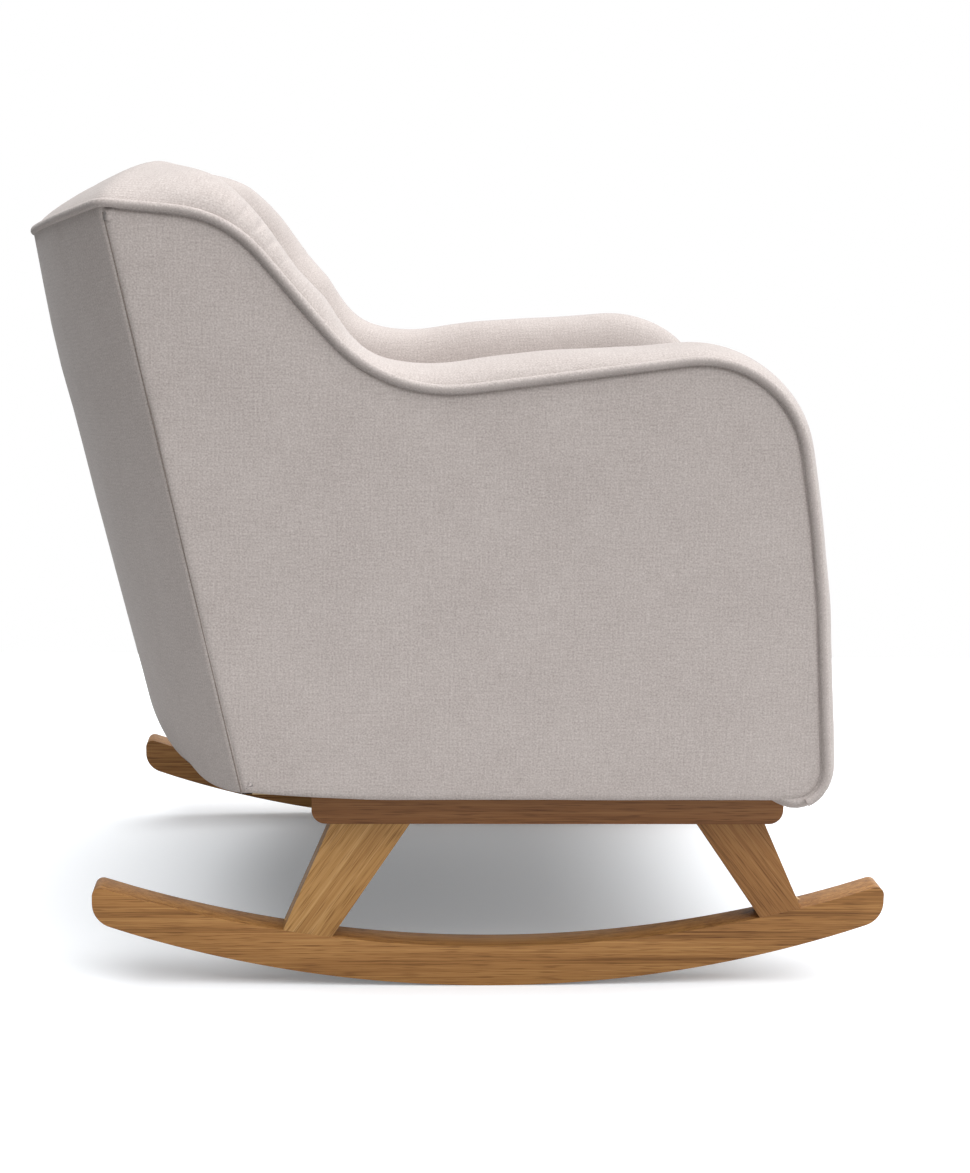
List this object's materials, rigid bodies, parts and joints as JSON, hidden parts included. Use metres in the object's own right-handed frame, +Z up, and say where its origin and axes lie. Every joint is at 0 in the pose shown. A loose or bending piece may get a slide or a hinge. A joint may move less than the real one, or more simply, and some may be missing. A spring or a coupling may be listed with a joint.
{
  "type": "rocking chair",
  "caption": "Upholstered nursery rocking chair with wings, a loose seat cushion and an oak base on two curved runners.",
  "frame": {"origin": "on the floor, under the centre of the chair's box", "axes": "+Z up, the sitter faces -Y, X runs across the chair"},
  "size_m": [0.7406, 0.8853, 0.811],
  "materials": {
    "oak": "lacquered oak, satin",
    "beech": "planed, unfinished",
    "plywood": "sanded plywood",
    "steel": "zinc plated",
    "cover_fabric": "soft flat weave, warm light grey",
    "dust_cloth": "black spunbond",
    "webbing": "elastic webbing",
    "deck_cloth": "plain lining cloth",
    "zip_tape": "woven tape with moulded teeth",
    "zip_metal": "die cast, plated"
  },
  "bodies": {
    "chair": {"rocker_left": "oak", "rocker_right": "oak", "front_leg_left": "oak", "front_leg_right": "oak", "rear_leg_left": "oak", "rear_leg_right": "oak", "base_rail_left": "oak", "base_rail_right": "oak", "base_cross_rail_front": "oak", "base_cross_rail_rear": "oak", "leg_dowels": "beech", "cross_rail_dowels": "beech", "base_bolts": "steel", "base_washers": "steel", "tee_nuts": "steel", "dust_cover": "dust_cloth", "seat_rail_left": "beech", "seat_rail_right": "beech", "seat_rail_front": "beech", "seat_rail_rear": "beech", "corner_blocks": "beech", "block_screws": "steel", "arm_panel_left": "plywood", "arm_panel_right": "plywood", "arm_post_left": "beech", "arm_post_right": "beech", "arm_top_board_left": "beech", "arm_top_board_right": "beech", "arm_inner_board_left": "plywood", "arm_inner_board_right": "plywood", "back_post_left": "beech", "back_post_right": "beech", "back_top_rail": "beech", "back_lower_rail": "beech", "back_webbing": "webbing", "seat_springs": "steel", "spring_clips": "steel", "seat_deck_pad": "deck_cloth", "front_border": "cover_fabric", "arm_pad_left": "cover_fabric", "arm_pad_right": "cover_fabric", "shoulder_pad_left": "cover_fabric", "shoulder_pad_right": "cover_fabric", "outer_side_cover_left": "cover_fabric", "outer_side_cover_right": "cover_fabric", "outer_back_cover": "cover_fabric", "inside_back_pad": "cover_fabric", "back_top_pad": "cover_fabric", "piping_left": "cover_fabric", "piping_right": "cover_fabric", "back_piping": "cover_fabric"},
    "cushion": {"seat_cushion": "cover_fabric", "cushion_piping": "cover_fabric", "cushion_zip": "zip_tape"},
    "slider": {"zip_slider": "zip_metal"}
  },
  "joints": [
    {"name": "cushion_lift", "type": "slide", "parent": "chair", "child": "cushion", "axis": [0, 0, 1], "range_m": [0, 0.35]},
    {"name": "zip_travel", "type": "hinge", "parent": "cushion", "child": "slider", "pos_m": [0, -0.29866, 0.4849], "axis": [0, 0.225, 0.9744], "range_deg": [0, 44.45]}
  ]
}
